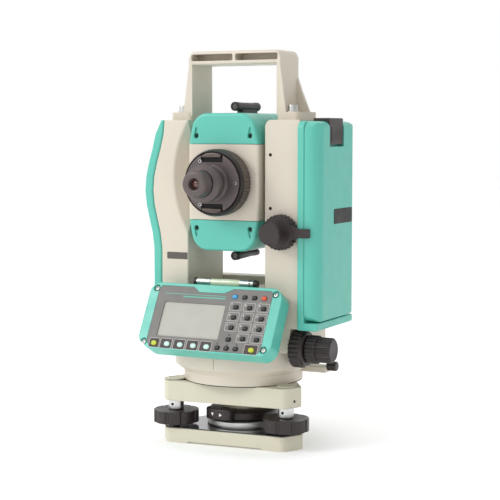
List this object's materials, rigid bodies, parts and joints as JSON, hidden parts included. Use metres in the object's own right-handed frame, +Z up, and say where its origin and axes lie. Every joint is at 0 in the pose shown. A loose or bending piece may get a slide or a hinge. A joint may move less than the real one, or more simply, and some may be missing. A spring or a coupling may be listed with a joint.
{
  "type": "surveying total station",
  "caption": "Surveying instrument on a levelling base: a turning body with two standards, a plunging telescope, a keyboard with a display, a battery and a carrying handle.",
  "frame": {"origin": "on the vertical turning axis, at the surface that the three feet stand on", "axes": "+Z up along the vertical turning axis, -Y towards the keyboard and the eyepiece, +X towards the battery side"},
  "size_m": [0.182, 0.1741, 0.347],
  "materials": {
    "cast_cream": "painted satin",
    "cover_mint": "satin",
    "knob_dark": "matte",
    "steel": "machined",
    "optic_dark": "matte black anodised",
    "sight_dark": "matte",
    "level_dark": "matte",
    "overlay_grey": "matte",
    "display": "clear over a grey display",
    "key_black": "matte",
    "key_blue": "matte",
    "key_red": "matte",
    "key_green": "matte",
    "key_pale": "matte"
  },
  "bodies": {
    "base": {"base_plate": "cast_cream", "centre_boss": "steel", "tribrach_body": "cast_cream", "horizontal_circle": "steel"},
    "screw_front_right": {"level_screw_front_right": "knob_dark"},
    "screw_rear": {"level_screw_rear": "knob_dark"},
    "screw_front_left": {"level_screw_front_left": "knob_dark"},
    "lock": {"lock_lever": "knob_dark"},
    "alidade": {"alidade_base": "cast_cream", "vertical_spindle": "steel", "left_standard": "cast_cream", "right_standard": "cast_cream", "left_cover": "cover_mint", "battery_frame": "cover_mint", "carry_handle": "cast_cream", "handle_screws": "steel", "plate_level": "level_dark", "keyboard_housing": "cover_mint", "keypad_overlay": "overlay_grey", "display_window": "display", "rear_cover": "cast_cream"},
    "battery": {"battery_pack": "cover_mint"},
    "latch": {"battery_latch": "knob_dark"},
    "telescope": {"telescope_body": "cast_cream", "telescope_covers": "cover_mint", "objective_barrel": "optic_dark", "eyepiece_tube": "optic_dark", "sights": "sight_dark", "trunnion_axles": "steel"},
    "focusing_ring": {"focus_ring": "optic_dark"},
    "eyepiece": {"eyepiece_ring": "optic_dark"},
    "clamp_vertical": {"vertical_clamp": "knob_dark"},
    "tangent_vertical": {"vertical_tangent": "knob_dark"},
    "clamp_horizontal": {"horizontal_clamp": "knob_dark"},
    "tangent_horizontal": {"horizontal_tangent": "knob_dark"},
    "key_light_cap": {"key_light": "key_blue"},
    "key_menu_cap": {"key_menu": "key_black"},
    "key_mode_cap": {"key_mode": "key_black"},
    "key_power_cap": {"key_power": "key_red"},
    "key_7_cap": {"key_7": "key_black"},
    "key_8_cap": {"key_8": "key_black"},
    "key_9_cap": {"key_9": "key_black"},
    "key_4_cap": {"key_4": "key_black"},
    "key_5_cap": {"key_5": "key_black"},
    "key_6_cap": {"key_6": "key_black"},
    "key_1_cap": {"key_1": "key_black"},
    "key_2_cap": {"key_2": "key_black"},
    "key_3_cap": {"key_3": "key_black"},
    "key_0_cap": {"key_0": "key_black"},
    "key_point_cap": {"key_point": "key_black"},
    "key_up_cap": {"key_up": "key_black"},
    "key_left_cap": {"key_left": "key_black"},
    "key_down_cap": {"key_down": "key_black"},
    "key_right_cap": {"key_right": "key_black"},
    "key_escape_cap": {"key_escape": "key_green"},
    "key_soft_1_cap": {"key_soft_1": "key_pale"},
    "key_soft_2_cap": {"key_soft_2": "key_pale"},
    "key_soft_3_cap": {"key_soft_3": "key_pale"},
    "key_soft_4_cap": {"key_soft_4": "key_pale"},
    "key_enter_cap": {"key_enter": "key_green"}
  },
  "joints": [
    {"name": "alidade_turn", "type": "hinge", "parent": "base", "child": "alidade", "pos_m": [0, 0, 0.06], "axis": [0, 0, 1], "continuous": true},
    {"name": "screw_front_right_turn", "type": "hinge", "parent": "base", "child": "screw_front_right", "pos_m": [0.05483, -0.02674, 0.022], "axis": [0, 0, 1], "continuous": true},
    {"name": "screw_rear_turn", "type": "hinge", "parent": "base", "child": "screw_rear", "pos_m": [-0.00426, 0.06085, 0.022], "axis": [0, 0, 1], "continuous": true},
    {"name": "screw_front_left_turn", "type": "hinge", "parent": "base", "child": "screw_front_left", "pos_m": [-0.05057, -0.03411, 0.022], "axis": [0, 0, 1], "continuous": true},
    {"name": "lock_turn", "type": "hinge", "parent": "base", "child": "lock", "pos_m": [0, 0, 0.025], "axis": [0, 0, 1], "range_deg": [0, 60]},
    {"name": "telescope_plunge", "type": "hinge", "parent": "alidade", "child": "telescope", "pos_m": [0, 0, 0.2323], "axis": [1, 0, 0], "continuous": true},
    {"name": "focus_turn", "type": "hinge", "parent": "telescope", "child": "focusing_ring", "pos_m": [0, -0.05, 0.2323], "axis": [0, 1, 0], "range_deg": [-200, 200]},
    {"name": "eyepiece_turn", "type": "hinge", "parent": "telescope", "child": "eyepiece", "pos_m": [0, -0.086, 0.2323], "axis": [0, 1, 0], "range_deg": [-150, 150]},
    {"name": "vertical_clamp_turn", "type": "hinge", "parent": "alidade", "child": "clamp_vertical", "pos_m": [0.0546, -0.04, 0.1903], "axis": [0, 1, 0], "range_deg": [-30, 30]},
    {"name": "vertical_tangent_turn", "type": "hinge", "parent": "alidade", "child": "tangent_vertical", "pos_m": [0.0546, -0.054, 0.1903], "axis": [0, 1, 0], "continuous": true},
    {"name": "horizontal_clamp_turn", "type": "hinge", "parent": "alidade", "child": "clamp_horizontal", "pos_m": [0.07, -0.026, 0.0893], "axis": [1, 0, 0], "range_deg": [-30, 30]},
    {"name": "horizontal_tangent_turn", "type": "hinge", "parent": "alidade", "child": "tangent_horizontal", "pos_m": [0.09, -0.026, 0.0893], "axis": [1, 0, 0], "continuous": true},
    {"name": "battery_slide", "type": "slide", "parent": "alidade", "child": "battery", "axis": [1, 0, 0], "range_m": [0, 0.06]},
    {"name": "latch_press", "type": "hinge", "parent": "battery", "child": "latch", "pos_m": [0.0887, 0, 0.2867], "axis": [0, 1, 0], "range_deg": [0, 5], "stiffness_Nm_per_rad": 0.4},
    {"name": "key_light_press", "type": "slide", "parent": "alidade", "child": "key_light_cap", "axis": [0, 0.8746, -0.4848], "range_m": [0, 0.0008], "stiffness_N_per_m": 300},
    {"name": "key_menu_press", "type": "slide", "parent": "alidade", "child": "key_menu_cap", "axis": [0, 0.8746, -0.4848], "range_m": [0, 0.0008], "stiffness_N_per_m": 300},
    {"name": "key_mode_press", "type": "slide", "parent": "alidade", "child": "key_mode_cap", "axis": [0, 0.8746, -0.4848], "range_m": [0, 0.0008], "stiffness_N_per_m": 300},
    {"name": "key_power_press", "type": "slide", "parent": "alidade", "child": "key_power_cap", "axis": [0, 0.8746, -0.4848], "range_m": [0, 0.0008], "stiffness_N_per_m": 300},
    {"name": "key_7_press", "type": "slide", "parent": "alidade", "child": "key_7_cap", "axis": [0, 0.8746, -0.4848], "range_m": [0, 0.0008], "stiffness_N_per_m": 300},
    {"name": "key_8_press", "type": "slide", "parent": "alidade", "child": "key_8_cap", "axis": [0, 0.8746, -0.4848], "range_m": [0, 0.0008], "stiffness_N_per_m": 300},
    {"name": "key_9_press", "type": "slide", "parent": "alidade", "child": "key_9_cap", "axis": [0, 0.8746, -0.4848], "range_m": [0, 0.0008], "stiffness_N_per_m": 300},
    {"name": "key_4_press", "type": "slide", "parent": "alidade", "child": "key_4_cap", "axis": [0, 0.8746, -0.4848], "range_m": [0, 0.0008], "stiffness_N_per_m": 300},
    {"name": "key_5_press", "type": "slide", "parent": "alidade", "child": "key_5_cap", "axis": [0, 0.8746, -0.4848], "range_m": [0, 0.0008], "stiffness_N_per_m": 300},
    {"name": "key_6_press", "type": "slide", "parent": "alidade", "child": "key_6_cap", "axis": [0, 0.8746, -0.4848], "range_m": [0, 0.0008], "stiffness_N_per_m": 300},
    {"name": "key_1_press", "type": "slide", "parent": "alidade", "child": "key_1_cap", "axis": [0, 0.8746, -0.4848], "range_m": [0, 0.0008], "stiffness_N_per_m": 300},
    {"name": "key_2_press", "type": "slide", "parent": "alidade", "child": "key_2_cap", "axis": [0, 0.8746, -0.4848], "range_m": [0, 0.0008], "stiffness_N_per_m": 300},
    {"name": "key_3_press", "type": "slide", "parent": "alidade", "child": "key_3_cap", "axis": [0, 0.8746, -0.4848], "range_m": [0, 0.0008], "stiffness_N_per_m": 300},
    {"name": "key_0_press", "type": "slide", "parent": "alidade", "child": "key_0_cap", "axis": [0, 0.8746, -0.4848], "range_m": [0, 0.0008], "stiffness_N_per_m": 300},
    {"name": "key_point_press", "type": "slide", "parent": "alidade", "child": "key_point_cap", "axis": [0, 0.8746, -0.4848], "range_m": [0, 0.0008], "stiffness_N_per_m": 300},
    {"name": "key_up_press", "type": "slide", "parent": "alidade", "child": "key_up_cap", "axis": [0, 0.8746, -0.4848], "range_m": [0, 0.0008], "stiffness_N_per_m": 300},
    {"name": "key_left_press", "type": "slide", "parent": "alidade", "child": "key_left_cap", "axis": [0, 0.8746, -0.4848], "range_m": [0, 0.0008], "stiffness_N_per_m": 300},
    {"name": "key_down_press", "type": "slide", "parent": "alidade", "child": "key_down_cap", "axis": [0, 0.8746, -0.4848], "range_m": [0, 0.0008], "stiffness_N_per_m": 300},
    {"name": "key_right_press", "type": "slide", "parent": "alidade", "child": "key_right_cap", "axis": [0, 0.8746, -0.4848], "range_m": [0, 0.0008], "stiffness_N_per_m": 300},
    {"name": "key_escape_press", "type": "slide", "parent": "alidade", "child": "key_escape_cap", "axis": [0, 0.8746, -0.4848], "range_m": [0, 0.0008], "stiffness_N_per_m": 300},
    {"name": "key_soft_1_press", "type": "slide", "parent": "alidade", "child": "key_soft_1_cap", "axis": [0, 0.8746, -0.4848], "range_m": [0, 0.0008], "stiffness_N_per_m": 300},
    {"name": "key_soft_2_press", "type": "slide", "parent": "alidade", "child": "key_soft_2_cap", "axis": [0, 0.8746, -0.4848], "range_m": [0, 0.0008], "stiffness_N_per_m": 300},
    {"name": "key_soft_3_press", "type": "slide", "parent": "alidade", "child": "key_soft_3_cap", "axis": [0, 0.8746, -0.4848], "range_m": [0, 0.0008], "stiffness_N_per_m": 300},
    {"name": "key_soft_4_press", "type": "slide", "parent": "alidade", "child": "key_soft_4_cap", "axis": [0, 0.8746, -0.4848], "range_m": [0, 0.0008], "stiffness_N_per_m": 300},
    {"name": "key_enter_press", "type": "slide", "parent": "alidade", "child": "key_enter_cap", "axis": [0, 0.8746, -0.4848], "range_m": [0, 0.0008], "stiffness_N_per_m": 300}
  ]
}
